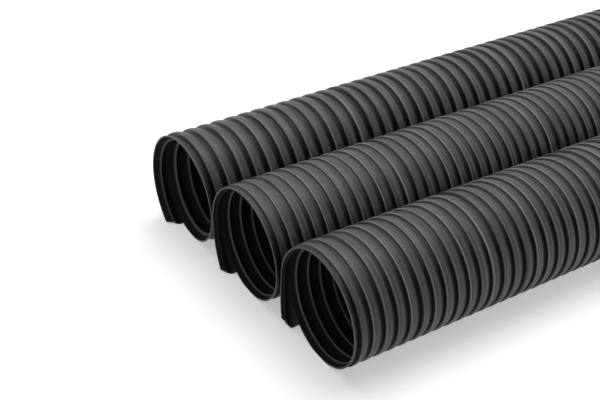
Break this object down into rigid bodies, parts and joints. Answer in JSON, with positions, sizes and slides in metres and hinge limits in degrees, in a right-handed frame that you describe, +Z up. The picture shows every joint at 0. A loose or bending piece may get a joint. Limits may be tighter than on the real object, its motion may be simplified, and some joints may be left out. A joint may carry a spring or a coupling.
{
  "type": "vacuum hose",
  "caption": "Straight lengths of black spirally wound ribbed vacuum hose lying side by side, with open bare-cut ends and a bore that takes a push-in hose tail.",
  "frame": {"origin": "centre of the row's footprint on the surface that the hoses lie on", "axes": "+X along the hoses from their near cut ends to their far ends, +Y from the front hose to the back hose, +Z up"},
  "size_m": [0.276, 0.1358, 0.0445],
  "materials": {
    "hose_plastic": "satin black plastic"
  },
  "bodies": {
    "middle_run": {"middle_hose_run": "hose_plastic", "middle_hose_bend": "hose_plastic"},
    "middle_end": {"middle_hose_end": "hose_plastic"},
    "back_run": {"back_hose_run": "hose_plastic", "back_hose_bend": "hose_plastic"},
    "back_end": {"back_hose_end": "hose_plastic"},
    "front_run": {"front_hose_run": "hose_plastic", "front_hose_bend": "hose_plastic"},
    "front_end": {"front_hose_end": "hose_plastic"}
  },
  "joints": [
    {"name": "back_slide", "type": "slide", "parent": "middle_run", "child": "back_run", "axis": [0, 1, 0], "range_m": [0, 0.06]},
    {"name": "front_slide", "type": "slide", "parent": "middle_run", "child": "front_run", "axis": [0, -1, 0], "range_m": [0, 0.06]},
    {"name": "back_bend", "type": "hinge", "parent": "back_run", "child": "back_end", "pos_m": [-0.009, 0.0454, 0.022], "axis": [0, 1, 0], "range_deg": [0, 25], "stiffness_Nm_per_rad": 0.4, "deforming": ["back_hose_bend"]},
    {"name": "middle_bend", "type": "hinge", "parent": "middle_run", "child": "middle_end", "pos_m": [-0.009, 0, 0.022], "axis": [0, 1, 0], "range_deg": [0, 25], "stiffness_Nm_per_rad": 0.4, "deforming": ["middle_hose_bend"]},
    {"name": "front_bend", "type": "hinge", "parent": "front_run", "child": "front_end", "pos_m": [-0.009, -0.0454, 0.022], "axis": [0, 1, 0], "range_deg": [0, 25], "stiffness_Nm_per_rad": 0.4, "deforming": ["front_hose_bend"]}
  ]
}
